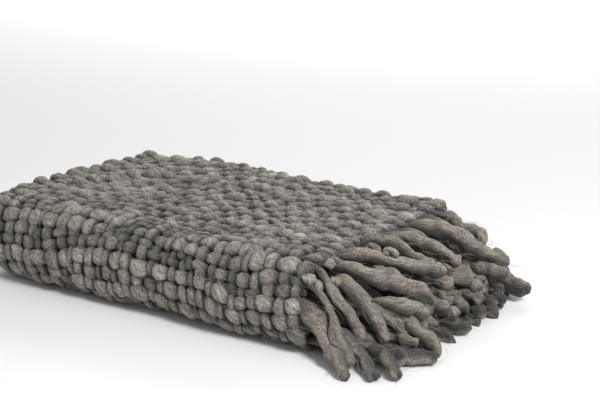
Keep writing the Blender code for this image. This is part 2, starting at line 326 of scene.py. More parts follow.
def linear(hex_colour):
    """Turn an sRGB hex colour into the linear one that shaders take."""
    parts = [int(hex_colour[k:k + 2], 16) / 255 for k in (1, 3, 5)]
    return tuple(c / 12.92 if c <= 0.04045 else ((c + 0.055) / 1.055) ** 2.4 for c in parts) + (1.0,)


def ease(share):
    """Smooth step from 0 to 1."""
    share = np.clip(share, 0.0, 1.0)
    return share * share * (3 - 2 * share)


def rising(low, share):
    """Go from low to 1 as a share goes from 0 to 1."""
    return low + (1 - low) * share


def unit(vectors):
    """Give vectors the length 1."""
    return vectors / np.linalg.norm(vectors, axis=-1, keepdims=True)


def running(steps):
    """Add up steps from a start at 0."""
    return np.concatenate(([0], np.cumsum(steps)))


def angles(around):
    """Directions of the points round one ring."""
    return np.arange(around) * 2 * math.pi / around


def waves(rows, **place):
    """Add up the soft waves of one table at many places."""
    total = 0.0
    for row in rows:
        turns = sum(place[axis] / row[axis] for axis in place)
        total = total + row["size"] * np.sin(2 * math.pi * turns + row["phase"])
    return total


def crease(x, y, z):
    """How far the soft troughs and ridges press the upper layers down at many places."""
    total = 0.0
    for row in CREASES:
        turn = math.radians(row["turn"])
        run = (x - row["x"]) * math.cos(turn) + (y - row["y"]) * math.sin(turn)
        aside = (y - row["y"]) * math.cos(turn) - (x - row["x"]) * math.sin(turn)
        press = np.exp(-(2 * run / row["length"]) ** 2 - (2 * aside / row["width"]) ** 2)
        total = total + row["depth"] * press
    return total * ease((z - CREASE_FOOT) / (STACK_HEIGHT - CREASE_FOOT))


def settle(x, y, z):
    """Leave the stack as uneven as soft cloth, and press what would sink flat on the floor."""
    return np.stack([
        x + END_SLANT_Y * y + END_SLANT_Z * z,
        y + waves(FRONT_WAVES, x=x, z=z),
        np.maximum(z * (1 + waves(HEIGHT_WAVES, x=x, y=y)) - crease(x, y, z), 0.0),
    ], axis=-1)


def fold_middle(place):
    """Return y, z and the outward normal of the doubled cloth's middle, for an array of places."""
    place = np.asarray(place, float)
    index = np.clip(place.astype(int), 0, len(STRETCHES) - 1)
    share = place - index
    angle = math.pi * share
    sine, cosine = np.sin(angle), np.cos(angle)
    middle = (DOUBLE_HALF + FLAP_HEIGHT) / 2
    level = 0 * share
    y = np.choose(index, (
        FLAP_EDGE + share * (BACK_CENTRE - FLAP_EDGE),
        BACK_CENTRE + BACK_RADIUS * sine,
        BACK_CENTRE + share * (FRONT_CENTRE - BACK_CENTRE),
        FRONT_CENTRE - FRONT_BULGE * sine,
        FRONT_CENTRE + share * (TOP_EDGE - FRONT_CENTRE),
    ))
    z = np.choose(index, (
        FLAP_HEIGHT + level,
        middle + BACK_RADIUS * cosine,
        DOUBLE_HALF + level,
        STACK_HEIGHT / 2 - FRONT_RISE * cosine,
        TOP_HEIGHT + level,
    ))
    slope = np.hypot(sine / FRONT_BULGE, cosine / FRONT_RISE)
    out_y = np.choose(index, (level, sine, level, -sine / FRONT_BULGE / slope, level))
    out_z = np.choose(index, (1 + level, cosine, level - 1, -cosine / FRONT_RISE / slope, 1 + level))
    return y, z, out_y, out_z


def offset_line(offset):
    """Return places along one sheet of the doubled cloth, and how far along it each one lies."""
    places = np.linspace(0, len(STRETCHES), 60 * len(STRETCHES) + 1)
    y, z, out_y, out_z = fold_middle(places)
    return places, running(np.hypot(np.diff(y + offset * out_y), np.diff(z + offset * out_z)))


OUTER_LINE = offset_line(SHEET_OFFSET)
INNER_LINE = offset_line(-SHEET_OFFSET)
# The two sheets' places part this far from the bend between them, in metres along the cloth
SHIFT_REACH = 0.22
# Places on the outer sheet. The warp spreads round the front fold from the first, and the weft lies
# slacker on top from the second, each coming in over a share of the cloth's width
FOLD_PLACE = 2.95
FOLD_BLEND = 0.03
TOP_PLACE = 3.86
TOP_BLEND = 0.11
# Warps from here on show, and those before it lie underneath
SHOWN_PLACE = 2.8


def place_of(across, along):
    """Turn a share of the cloth's width into a place on the folds, on the sheet that along is on."""
    outer, inner = (np.interp(across * run[-1], run, places) for places, run in (OUTER_LINE, INNER_LINE))
    middle = STRAIGHT_LENGTH + BEND_LENGTH / 2
    blend = ease((along - middle + SHIFT_REACH) / (2 * SHIFT_REACH))
    return outer + blend * (inner - outer)


def share_at(place):
    """Turn a place on the outer sheet into a share of the cloth's width."""
    return np.interp(place, *OUTER_LINE) / OUTER_LINE[1][-1]


def on_top(across):
    """How far a place across the cloth lies on top of the stack, from 0 on the fold to 1."""
    return ease((across / CLOTH_WIDTH - share_at(TOP_PLACE)) / TOP_BLEND)


def lay(across, along, height):
    """Lay points of the flat cloth on its folds: share of the width, metres along, height off it."""
    angle = np.clip((along - STRAIGHT_LENGTH) / SHEET_OFFSET, 0, math.pi)
    back = np.maximum(along - STRAIGHT_LENGTH - BEND_LENGTH, 0)
    x = OPEN_END - np.minimum(along, STRAIGHT_LENGTH) + back
    x = x - (SHEET_OFFSET + height) * np.sin(angle)
    offset = (SHEET_OFFSET + height) * np.cos(angle)
    y, z, out_y, out_z = fold_middle(place_of(across, along))
    return settle(x, y + out_y * offset, z + out_z * offset)


def find_shift():
    """Work out where the solid's origin lies, from the box of the cloth's own node."""
    across, along = np.meshgrid(np.linspace(0, 1, 241), np.linspace(0, CLOTH_LENGTH, 121))
    skins = [lay(across, along, side * CLOTH_THICKNESS / 2).reshape(-1, 3) for side in (-1, 1)]
    points = np.concatenate(skins)
    middle = (points.min(0) + points.max(0)) / 2
    return np.array([(CLOTH_BOX[0][k] + CLOTH_BOX[1][k]) / 2 - middle[k] for k in (0, 1)] + [0.0])


SHIFT = find_shift()


def grid_mesh(name, across, along, size=1.0, with_uv=False):
    """Make a flat grid as a mesh."""
    bm = bmesh.new()
    bmesh.ops.create_grid(bm, x_segments=across, y_segments=along, size=size)
    if with_uv:
        bm.loops.layers.uv.verify()
    mesh = bpy.data.meshes.new(name)
    bm.to_mesh(mesh)
    bm.free()
    return mesh


def store(mesh, name, values):
    """Store one number for each point of a mesh."""
    layer = mesh.attributes.new(name, "FLOAT", "POINT")
    layer.data.foreach_set("value", values.astype(np.float32).reshape(-1))


def add_object(name, data):
    """Put an object with this data into the scene."""
    piece = bpy.data.objects.new(name, data)
    bpy.context.scene.collection.objects.link(piece)
    return piece


def tube_object(name, tubes, tones, painted_light, material, twist):
    """Make closed tubes from their rings of points, in one mesh.

    One grid is wrapped round all the tubes and parted between them. Its UV map is in metres: along
    the tube, and round it with the roving's twist. The point attribute tone carries one shade for
    each ring, and a second attribute the light and shade painted on each point, from 0, in full
    shade, to 1: on the yarns by how far the point stands out of the crevices.
    """
    around = tubes[0].shape[1]
    points = np.concatenate(tubes)
    mesh = grid_mesh(name, around, len(points) - 1)
    wrapped = np.concatenate([points, points[:, :1]], axis=1) + SHIFT
    mesh.vertices.foreach_set("co", wrapped.astype(np.float32).reshape(-1))
    # The light and shade painted on each point, with a copy for the seam
    height = np.concatenate(painted_light)
    store(mesh, "tone", np.repeat(np.concatenate(tones), around + 1))
    store(mesh, "painted_light", np.concatenate([height, height[:, :1]], axis=1))
    steps = np.linalg.norm(np.diff(points.mean(axis=1), axis=0), axis=1)
    length = running(np.minimum(steps, LEAP_LIMIT))
    girth = np.linalg.norm(np.diff(wrapped, axis=1), axis=2).sum(axis=1).mean()
    corners = np.empty(len(mesh.loops), np.int32)
    mesh.loops.foreach_get("vertex_index", corners)
    run = length[corners // (around + 1)]
    uv = np.stack([run, girth * (corners % (around + 1)) / around + twist * run], axis=1)
    mesh.uv_layers.new(name="UVMap").data.foreach_set("uv", uv.astype(np.float32).reshape(-1))
    close_tubes(mesh, np.cumsum([len(tube) for tube in tubes])[:-1], around)
    mesh.materials.append(material)
    mesh.shade_smooth()
    piece = add_object(name, mesh)
    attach(piece, "root")
    return piece


def close_tubes(mesh, starts, around):
    """Part the tubes from each other, join each one's seam and fill its ends."""
    bm = bmesh.new()
    bm.from_mesh(mesh)
    bm.verts.ensure_lookup_table()
    bm.faces.ensure_lookup_table()
    seam = {}
    for row in range(len(bm.verts) // (around + 1)):
        seam[bm.verts[row * (around + 1) + around]] = bm.verts[row * (around + 1)]
    links = [bm.faces[(start - 1) * around + k] for start in starts for k in range(around)]
    bmesh.ops.delete(bm, geom=links, context="FACES")
    bmesh.ops.weld_verts(bm, targetmap=seam)
    bmesh.ops.holes_fill(bm, edges=[edge for edge in bm.edges if edge.is_boundary], sides=0)
    bmesh.ops.recalc_face_normals(bm, faces=bm.faces)
    bm.to_mesh(mesh)
    bm.free()


def smooth_noise(rng, shape, rounds):
    """Random values with a spread of 1 that change smoothly along both axes."""
    values = rng.normal(size=shape)
    for _ in range(rounds):
        values = (values + 0.5 * (np.roll(values, 1, axis=-1) + np.roll(values, -1, axis=-1))) / 2
        inner = values[..., 1:-1, :] + 0.5 * (values[..., 2:, :] + values[..., :-2, :])
        values[..., 1:-1, :] = inner / 2
    return values / values.std()


def thick_and_thin(rng, yarns, crossings, sizes):
    """Thickness of each yarn at each crossing, as a factor: slubs, thin stretches and its own gauge."""
    loose = rng.normal(size=(yarns, crossings + 4))
    run = sum(weight * loose[:, k:k + crossings] for k, weight in enumerate(SLUB_RUN))
    run /= run.std()
    own = rng.normal(size=(yarns, 1))
    factor = np.exp(sizes.slub_spread * run + sizes.yarn_spread * own)
    return np.clip(factor / factor.mean(), *SIZE_LIMITS)


def side_by_side(size, total, pitch):
    """Space yarns out so that each pair is as far apart as it is thick, and each yarn stays smooth."""
    gaps = (size[1:] + size[:-1]) / 2
    total = total - pitch
    gaps = gaps * (total / gaps.sum(axis=0, keepdims=True).mean())
    spots = np.concatenate([np.zeros((1, gaps.shape[1])), np.cumsum(gaps, axis=0)])
    spots *= total / spots[-1:]
    for _ in range(RELAX_ROUNDS):
        error = RELAX_PULL * (np.diff(spots, axis=0) - gaps)
        spots[:-1] += error
        spots[1:] -= error
        spots[:, 1:-1] += RELAX_SMOOTHING * (spots[:, 2:] + spots[:, :-2] - 2 * spots[:, 1:-1])
        spots[0] = 0.0
        spots[-1] = total
    return pitch / 2 + spots


class Weave:
    """The crossings of the whole cloth: where they lie, how thick each yarn is, and which is on top."""

    def __init__(self, sizes):
        rng = np.random.default_rng(sizes.seed)
        self.sizes = sizes
        self.warps = round(CLOTH_WIDTH / sizes.warp_pitch)
        self.wefts = round(CLOTH_LENGTH / sizes.weft_pitch)
        self.warp_size = thick_and_thin(rng, self.warps, self.wefts, sizes)
        self.weft_size = thick_and_thin(rng, self.wefts, self.warps, sizes).T
        self.across = side_by_side(self.warp_size, CLOTH_WIDTH, sizes.warp_pitch)
        self.along = side_by_side(self.weft_size.T, CLOTH_LENGTH, sizes.weft_pitch).T
        wander = [smooth_noise(rng, (self.warps, self.wefts), 2) for _ in range(2)]
        for part, soft in ((self.across[1:-1], wander[0][1:-1]), (self.along[:, 1:-1], wander[1][:, 1:-1])):
            part += sizes.wander * soft + sizes.jitter * rng.normal(size=part.shape)
        over = np.indices((self.warps, self.wefts)).sum(axis=0) % 2 * 2 - 1
        over = np.where(rng.random(over.shape) < sizes.skips, -over, over)
        row, column = (
            np.clip(np.gradient(part, axis=axis), *(limit * pitch for limit in PITCH_LIMITS))
            for part, axis, pitch in ((self.across, 0, sizes.warp_pitch), (self.along, 1, sizes.weft_pitch)))
        top = on_top(self.across)
        change = {name: 1 + share * sizes.top_slack * top for name, share in SLACK_CHANGE.items()}
        folded = ease((self.across / CLOTH_WIDTH - share_at(FOLD_PLACE)) / FOLD_BLEND) - top
        crest = sizes.crest + sizes.fold_spread * folded
        self.warp_wide = sizes.warp_fill * row * self.warp_size ** WIDTH_POWER
        self.weft_wide = sizes.weft_fill * column * self.weft_size ** WIDTH_POWER
        self.warp_wide *= (1 + crest * over) * change["warp_wide"]
        self.weft_wide *= (1 - 0.5 * sizes.crest * over) * change["weft_wide"]
        warp_high = sizes.warp_height * self.warp_size ** HEIGHT_POWER * change["warp_high"]
        weft_high = sizes.weft_height * self.weft_size ** HEIGHT_POWER * change["weft_high"]
        self.warp_level = over * sizes.nesting * weft_high
        self.weft_level = -over * sizes.nesting * warp_high
        self.rng = rng

    def tubes(self, route, level, size, broad, gauge, steps, around, first, last):
        """Sweep each yarn of a group through its crossings from first to last.

        route is (yarns, crossings, 2) in metres across and along the flat cloth, and broad is the
        yarns' width at each crossing. gauge holds their mean height, and the pitch of what they cross.
        """
        count = round((last - first) * steps) + 1
        at = np.linspace(first, last, count)
        index = np.clip(at.astype(int), 0, route.shape[1] - 2)
        part = at - index
        before = np.clip(index - 1, 0, None)
        after = np.clip(index + 2, None, route.shape[1] - 1)
        weights = (
            (-part + 2 * part ** 2 - part ** 3) / 2,
            (2 - 5 * part ** 2 + 3 * part ** 3) / 2,
            (part + 4 * part ** 2 - 3 * part ** 3) / 2,
            (part ** 3 - part ** 2) / 2,
        )
        spots = (before, index, index + 1, after)
        flat = sum(w[None, :, None] * route[:, spot] for w, spot in zip(weights, spots))
        climb = ease(0.5 + self.sizes.dive * (part - 0.5))
        high, swell, wide = (each[:, index] * (1 - climb) + each[:, index + 1] * climb
                             for each in (level, size, broad))
        pinch = 1 - self.sizes.pinch * np.sin(math.pi * part) ** 2
        half_wide = wide / 2 * pinch
        half_high = gauge["height"] / 2 * swell ** HEIGHT_POWER * np.sqrt(pinch)
        ends = np.minimum(at - first, last - at) * gauge["crossed"]
        rounding = np.sqrt(np.clip(ends / END_ROUNDING, 0.02, 1.0)) if gauge["rounded"] else 1.0
        path = np.concatenate([flat, high[..., None]], axis=2)
        course = unit(np.gradient(path, axis=1))
        level_run = np.hypot(course[..., 0], course[..., 1])
        side = np.stack([course[..., 1], -course[..., 0], 0 * level_run], axis=2) / level_run[..., None]
        up = np.stack([-course[..., 2] * course[..., 0] / level_run,
                       -course[..., 2] * course[..., 1] / level_run, level_run], axis=2)
        turn = angles(around)
        lumps = 1 + self.sizes.lumps * smooth_noise(self.rng, (len(path), count, around), 2)
        lumps += self.sizes.ridges * np.cos(3 * (turn[None, :] + 2 * YARN_TWIST * at[:, None]))
        cosine, sine = (np.sign(each) * np.abs(each) ** self.sizes.boxy
                        for each in (np.cos(turn), np.sin(turn)))
        wide = (half_wide * rounding)[..., None, None] * cosine[:, None] * side[:, :, None]
        tall = (half_high * rounding)[..., None, None] * sine[:, None] * up[:, :, None]
        slant = self.sizes.slant * (1 + TOP_SLANT * on_top(flat[..., 0]))
        skewed = (slant * half_wide * rounding)[..., None] * cosine
        ring = path[:, :, None] + (wide + tall) * lumps[..., None] + skewed[..., None] * course[:, :, None]
        # Painted light and shade: the lower the wool lies in the crevices, the darker it is painted; the
        # turns at the selvedges are painted lit, and the shade is paler on top
        painted_light = ease((np.abs(ring[..., 2]) - CREVICE[0]) / (CREVICE[1] - CREVICE[0]))
        from_edge = np.minimum(ring[..., 0], CLOTH_WIDTH - ring[..., 0])
        painted_light = np.maximum(painted_light, EDGE_LIGHT * ease(1 - from_edge / EDGE_DEPTH))
        painted_light += TOP_SHADE_PALER * on_top(ring[..., 0]) * (1 - painted_light)
        return lay(ring[..., 0] / CLOTH_WIDTH, ring[..., 1], ring[..., 2]), painted_light


def with_ends(route, past, level, size, broad):
    """Return the routes with a spot past both ends of each yarn, and what the yarns measure there."""
    level = np.pad(level, ((0, 0), (1, 1)))
    size, broad = (np.pad(part, ((0, 0), (1, 1)), mode="edge") for part in (size, broad))
    return np.concatenate([past[0], route, past[1]], axis=1), level, size, broad


def warp_route(weave):
    """Route of every warp yarn, with one more spot past the first and last weft."""
    route = np.stack([weave.across, weave.along], axis=2)
    past = route[:, :1].copy(), route[:, -1:].copy()
    past[0][..., 1] = -WARP_PAST_END
    past[1][..., 1] = CLOTH_LENGTH + WARP_PAST_END
    return with_ends(route, past, weave.warp_level, weave.warp_size, weave.warp_wide)


def weft_route(weave):
    """Route of every weft yarn, turning at both selvedges towards the yarn that it goes on as."""
    route = np.stack([weave.across, weave.along], axis=2).transpose(1, 0, 2)
    past = route[:, :1].copy(), route[:, -1:].copy()
    for number in range(len(route)):
        for edge, spot, parity in ((past[0], 0, 0), (past[1], -1, 1)):
            mate = number + 1 if number % 2 == parity else number - 1
            mate = min(max(mate, 0), len(route) - 1)
            edge[number, 0, 1] = (route[number, spot, 1] + route[mate, spot, 1]) / 2
    past[0][..., 0] = -WEFT_PAST_EDGE
    past[1][..., 0] = CLOTH_WIDTH + WEFT_PAST_EDGE
    return with_ends(route, past, weave.weft_level.T, weave.weft_size.T, weave.weft_wide.T)


def yarn_tones(weave, tubes):
    """Give each yarn its own shade, drifting along its length."""
    tones = []
    for rings in tubes:
        drift = np.cumsum(weave.rng.normal(size=len(rings))) * TONE_DRIFT
        own = TONE_MIDDLE + TONE_SPREAD * weave.rng.normal()
        tones.append(np.clip(own + drift - drift.mean(), 0, 1))
    return tones


def add_node(tree, kind, settings=None, **links):
    """Add a node with its settings, and link or set its inputs by name."""
    node = tree.nodes.new(kind)
    for name, value in (settings or {}).items():
        setattr(node, name, value)
    for name, value in links.items():
        socket = node.inputs[int(name[1:])] if name[1:].isdigit() else node.inputs[name.replace("_", " ")]
        if isinstance(value, bpy.types.NodeSocket):
            tree.links.new(value, socket)
        else:
            socket.default_value = value
    return node


def roving_material(name, colours, tint, bump):
    """Felted wool roving, carded and barely spun: matt, hazy at its edges, streaked along its fibres."""
    crevice_shade, dark, middle, light = (
        tuple(part * share for part, share in zip(linear(colour), (*tint, 1.0)))
        for colour in (colours.crevice_shade, colours.dark, colours.middle, colours.light))
    material = bpy.data.materials.new(name)
    material.use_nodes = True
    tree = material.node_tree
    shader = tree.nodes["Principled BSDF"]
    uv = add_node(tree, "ShaderNodeUVMap", {"uv_map": "UVMap"})
    tone = add_node(tree, "ShaderNodeAttribute", {"attribute_name": "tone"})
    painted_light = add_node(tree, "ShaderNodeAttribute", {"attribute_name": "painted_light"})
    # Fibres are 0.03 mm thick: they are drawn as bundles 2.3 mm wide and 12.5 mm long, so that they show
    bundles = add_node(tree, "ShaderNodeMapping", Vector=uv.outputs[0], Scale=(80.0, 430.0, 1.0))
    streaks = add_node(tree, "ShaderNodeTexNoise", Vector=bundles.outputs[0], Scale=1.0, Detail=4.0,
                       Roughness=0.65, Distortion=0.5)
    # Felted clouds, about 9 by 6 mm
    clouds = add_node(tree, "ShaderNodeMapping", Vector=uv.outputs[0], Scale=(110.0, 170.0, 1.0))
    cloud = add_node(tree, "ShaderNodeTexNoise", Vector=clouds.outputs[0], Scale=1.0, Detail=4.0,
                     Roughness=0.6)
    # Neps and short fibre ends, about 2 mm across
    place = add_node(tree, "ShaderNodeTexCoord")
    neps = add_node(tree, "ShaderNodeTexNoise", Vector=place.outputs["Object"], Scale=520.0, Detail=2.0,
                    Roughness=0.7)
    # Each yarn's own shade, mixed with these shares of the clouds, the streaks and the neps
    value = tone.outputs["Fac"]
    for noise, share in ((cloud, 0.45), (streaks, 0.38), (neps, 0.34)):
        mix = add_node(tree, "ShaderNodeMix", {"data_type": "FLOAT"}, _0=share, _2=value,
                       _3=noise.outputs["Fac"])
        value = mix.outputs[0]
    ramp = add_node(tree, "ShaderNodeValToRGB", Fac=value)
    for stop, (spot, colour) in enumerate(((0.405, dark), (0.50, middle), (0.605, light))):
        element = ramp.color_ramp.elements[stop] if stop < 2 else ramp.color_ramp.elements.new(spot)
        element.position = spot
        element.color = colour
    # Crevices stay darker, as little light gets into the wool there
    shade = add_node(tree, "ShaderNodeMix", {"data_type": "RGBA", "blend_type": "MIX"},
                     _0=painted_light.outputs["Fac"], _6=crevice_shade, _7=ramp.outputs["Color"])
    tree.links.new(shade.outputs[2], shader.inputs["Base Color"])
    # How far each of them raises the wool, in metres
    raised = {}
    for noise, height in ((cloud, 0.003), (neps, 0.0028), (streaks, 0.0045)):
        relief = add_node(tree, "ShaderNodeBump", Height=noise.outputs["Fac"], Strength=bump,
                          Distance=height, **raised)
        raised = {"Normal": relief.outputs["Normal"]}
    tree.links.new(raised["Normal"], shader.inputs["Normal"])
    shader.inputs["Roughness"].default_value = 0.92
    shader.inputs["Specular IOR Level"].default_value = 0.25
    shader.inputs["Sheen Weight"].default_value = 0.30
    shader.inputs["Sheen Roughness"].default_value = 0.5
    return material


def lock_routes(side):
    """Return the root, tip, landing, length and width of every lock of one fringed end."""
    rng = np.random.default_rng(SEEDS[side])
    felt = np.random.default_rng(SEEDS[side] + 1)
    offset = SHEET_OFFSET if side == "outer" else -SHEET_OFFSET
    places, length = OUTER_LINE if side == "outer" else INNER_LINE
    count = int((length[-1] - LOCK_PITCH) / LOCK_PITCH)
    centres = (length[-1] - (count - 1) * LOCK_PITCH) / 2 + LOCK_PITCH * np.arange(count)
    locks = []
    for number, place in enumerate(np.interp(centres, length, places)):
        y, z, out_y, out_z = (float(v) for v in fold_middle(place))
        root = (y + offset * out_y, z + offset * out_z)
        tip_y, tip_z, land = tip_rest(side, place, root)
        lean = LEAN_SIZE * math.sin(2 * math.pi * root[0] / LEAN_WAVE + LEAN_PHASE)
        lean += rng.uniform(-LEAN_JITTER, LEAN_JITTER)
        reach = LOCK_LENGTH * rng.uniform(*LENGTH_RANGE)
        width = LOCK_WIDTH * rng.uniform(*WIDTH_RANGE)
        drop = root[1] - tip_z
        reach = math.sqrt(reach ** 2 - SLACK_OF_DROP * drop ** 2 - (tip_y + lean - root[0]) ** 2)
        stray = felt.normal(size=2)
        locks.append({"number": number, "root": root, "out": (out_y, out_z), "width": width,
                      "reach": reach * (1 + STRAY_LENGTH * stray[0]), "land": land,
                      "aside": tip_y + lean - root[0] + STRAY_ASIDE * stray[1],
                      "drop": drop - pile_up(tip_z) + STRAY_DROP * felt.random()})
    return locks


def pile_up(tip_z):
    """How much higher a lock's tip lies on plump locks than on the plain ones of the solid."""
    return PILE_UP * (tip_z - FLOOR_REST) / (TOP_LEVEL * LAYER_REST)


def tip_rest(side, place, root):
    """Return where a lock's tip comes to rest in the Y-Z plane, and how far past its root."""
    index = min(int(place), len(STRETCHES) - 1)
    stretch = STRETCHES[index]
    share = place - index
    if (side, stretch) in REST_LEVEL:
        level = REST_LEVEL[side, stretch]
        land = LAND_ON_TOP if level == TOP_LEVEL else LAND
        return root[0], FLOOR_REST + level * LAYER_REST, land
    slump = SLUMP[side, stretch]
    centre, below, above, outward = FRONT_CENTRE, "bottom", "top", -1
    if stretch == "back":
        centre, below, above, outward = BACK_CENTRE, "bottom", "flap", 1
        share = 1 - share
    low = REST_LEVEL[side, below]
    high = REST_LEVEL[side, above]
    rise = (share - slump["grounded"]) / (slump["topped"] - slump["grounded"])
    level = low + (high - low) * min(max(rise, 0.0), 1.0)
    bulge = 2 * share if share < 0.5 else math.sin(math.pi * share) ** 0.8
    land = slump["first"] + share * (slump["last"] - slump["first"])
    return centre + outward * slump["spread"] * bulge, FLOOR_REST + level * LAYER_REST, land


def droop_path(lock, share):
    """Return the path of a lock that lies over in the common way, and its width."""
    gone = lock["reach"] * share
    spread = ease(gone / SPREAD_REACH)
    sway = SWAY_SIZE * np.sin(2 * math.pi * (gone / SWAY_WAVE + lock["root"][0] / LEAN_WAVE)) * spread
    y = lock["root"][0] + lock["aside"] * spread + sway
    z = lock["root"][1] - lock["drop"] * ease(gone / lock["land"])
    return np.stack([OPEN_END + PART_GAP + STRIP_DEPTH + gone, y, z], axis=1), lock["width"] + 0 * share


def placed_path(lock, row, share):
    """Return the path of a lock that shows by itself, on a smooth curve through its points, and its width."""
    *shape, width = row
    knots = np.array([*((past, *lock["root"]) for past in PLACED_ROOT), *shape]) + (OPEN_END, 0.0, 0.0)
    times = running(np.linalg.norm(np.diff(knots, axis=0), axis=1) ** PLACED_POWER)
    slopes = np.gradient(knots, times, axis=0)
    want = times[-1] * (share + LOCK_INSIDE) / (1 + LOCK_INSIDE)
    index = np.clip(np.searchsorted(times, want) - 1, 0, len(knots) - 2)
    span = (times[index + 1] - times[index])[:, None]
    part = (want - times[index])[:, None] / span
    rest = 1 - part
    path = (knots[index] * (1 + 2 * part) + slopes[index] * span * part) * rest ** 2
    path += (knots[index + 1] * (3 - 2 * part) - slopes[index + 1] * span * rest) * part ** 2
    return path, np.interp(want, times[1:], (width[0], *width))


def carry(course, up):
    """Carry an upward direction along a path without letting it spin."""
    carried = []
    for step in course:
        up = up - step * (up @ step)
        up = up / np.linalg.norm(up)
        carried.append(up)
    return np.array(carried)


def lock_tube(lock, row, sizes, rng):
    """Sweep one felted lock from inside the cloth's edge to its rounded tip."""
    steps, around = LOCK_RINGS
    share = -LOCK_INSIDE + (1 + LOCK_INSIDE) * (1 - np.linspace(1, 0, steps) ** RING_CROWDING)
    path, wide = droop_path(lock, share) if row is None else placed_path(lock, row, share)
    run = running(np.linalg.norm(np.diff(path, axis=0), axis=1))
    bends = rng.normal(size=(2, 4))
    waver = [sum(bends[k, j] * np.sin(2 * math.pi * (run / wave + bends[k, j + 2]))
                 for j, wave in enumerate(WAVER_WAVES)) for k in (0, 1)]
    free, plump = (1.0, sizes.lock_plump) if row is None else (PLACED_FREEDOM, 1.0)
    stray = free * sizes.waver * (WAVER_SPREAD[0] + WAVER_SPREAD[1] * abs(rng.normal()))
    stray = stray * ease(share / WAVER_REACH)
    path[:, 1] += stray * waver[0]
    path[:, 2] += WAVER_UP * stray * waver[1]
    course = unit(np.gradient(path, axis=0))
    up = carry(course, np.array([0, *lock["out"]]))
    side = np.cross(up, course)
    swell = np.clip(smooth_noise(rng, (1, steps, 1), 9)[0, :, 0], *SWELL_LIMITS)
    blunt = np.clip(1 - (run[-1] - run) / (TIP_ROUND * wide[-1]), 0.0, TIP_END)
    factor = (1 + free * sizes.lock_swell * swell) * rising(ROOT_WIDTH, ease(share / ROOT_REACH))
    factor *= np.sqrt(1 - blunt ** 2)
    angle = angles(around)
    wind = run[:, None] * sizes.lock_twist * 2 * math.pi + rng.uniform(0, 6.28)
    lobes = sum(size * np.cos(number * angle - twist * wind) for number, size, twist in LOCK_LOBES)
    lumps = 1 + lobes + sizes.lock_lumps * smooth_noise(rng, (1, steps, around), 3)[0]
    broad = (wide * plump / 2 * factor)[:, None, None] * np.cos(angle)[:, None] * side[:, None]
    high = LOCK_FLATNESS[0] + LOCK_FLATNESS[1] * wide
    tall = (high * factor)[:, None, None] * np.sin(angle)[:, None] * up[:, None]
    ring = path[:, None] + (broad + tall) * lumps[..., None]
    ring[..., 2] -= np.minimum(ring[..., 2].min(axis=1), 0.0)[:, None]
    # Light and shade painted on the lock: darkest on its underside and at its root
    lit = rising(UNDERSIDE_LIGHT, ease(SIDE_LIGHT[0] + SIDE_LIGHT[1] * np.sin(angle)))
    lit = lit * rising(ROOT_LIGHT, ease(share / ROOT_LIGHT_REACH))[:, None]
    return settle(*np.moveaxis(ring, -1, 0)), lit


def knot_tube(row, sizes, rng):
    """Sweep one curled end or knot as an arch of felted yarn with rounded ends."""
    steps, around = KNOT_RINGS
    share = np.linspace(-1.0, 1.0, steps)
    angle = share * math.radians(row["turn"])
    heading = math.radians(row["heading"])
    run = np.array([math.cos(heading), math.sin(heading), 0.0])
    up = np.array([0.0, 0.0, 1.0])
    spokes = np.sin(angle)[:, None] * run + np.cos(angle)[:, None] * up
    path = np.array(row["middle"]) + (OPEN_END, 0.0, 0.0) + row["size"] * spokes
    reach = row["size"] * math.radians(row["turn"]) * (1 - abs(share))
    tip = np.sqrt(1 - np.clip(1 - reach / (row["thick"] / 2), 0.0, TIP_END) ** 2)
    turn = angles(around)[:, None]
    lumps = 1 + sizes.lock_lumps * smooth_noise(rng, (1, steps, around), 3)[0]
    skin = np.cos(turn) * np.cross(run, up) + np.sin(turn) * spokes[:, None]
    ring = path[:, None] + row["thick"] / 2 * (tip[:, None] * lumps)[..., None] * skin
    # Light and shade painted on the knot: darker where it faces down
    lit = rising(KNOT_LIGHT, ease(KNOT_SIDE_LIGHT[0] + KNOT_SIDE_LIGHT[1] * skin[..., 2]))
    return settle(*np.moveaxis(ring, -1, 0)), lit


def fibre_tubes(rng, skins, count, lengths, thickness):
    """Make loose fibres that stand a little off the wool: each one starts on a skin's point and curls."""
    starts, courses, outs = [], [], []
    points = np.array([skin.shape[0] * skin.shape[1] for skin in skins])
    for pick in rng.choice(len(skins), size=count, p=points / points.sum()):
        skin = skins[pick]
        ring = rng.integers(2, skin.shape[0] - 3)
        spot = rng.integers(skin.shape[1])
        start = skin[ring, spot]
        out = start - skin[ring].mean(axis=0)
        course = skin[ring + 1].mean(axis=0) - skin[ring - 1].mean(axis=0)
        starts.append(start)
        outs.append(out / max(np.linalg.norm(out), 1e-6))
        courses.append(course / max(np.linalg.norm(course), 1e-6) * rng.choice((-1, 1)))
    starts, courses, outs = np.array(starts), np.array(courses), np.array(outs)
    aside = np.cross(courses, outs)
    length = rng.uniform(*lengths, size=(count, 1, 1))
    along = np.linspace(0, 1, FIBRE_POINTS)[None, :, None]
    bow = rng.uniform(*FIBRE_BOW, size=(count, 1, 1))
    curl = rng.normal(size=(count, 1, 1)) * FIBRE_CURL
    rise = bow * np.sin(math.pi * along * FIBRE_ARCH) - FIBRE_INSIDE
    path = starts[:, None] + length * (
        along * courses[:, None] + rise * outs[:, None] + curl * along ** 2 * aside[:, None])
    path[..., 2] = np.clip(path[..., 2], FIBRE_FLOOR, path[:, :1, 2] + FIBRE_RISE)
    low, high = np.array(CAD_BOX)[:, :2] - SHIFT[:2]
    path[..., :2] = np.clip(path[..., :2], low - FIBRE_STRAY, high + FIBRE_STRAY)
    angle = angles(3)[:, None]
    half = thickness / 2 * (1 - FIBRE_TAPER * along[..., None])
    ring = np.cos(angle) * aside[:, None, None] + np.sin(angle) * outs[:, None, None]
    return path[:, :, None] + half * ring


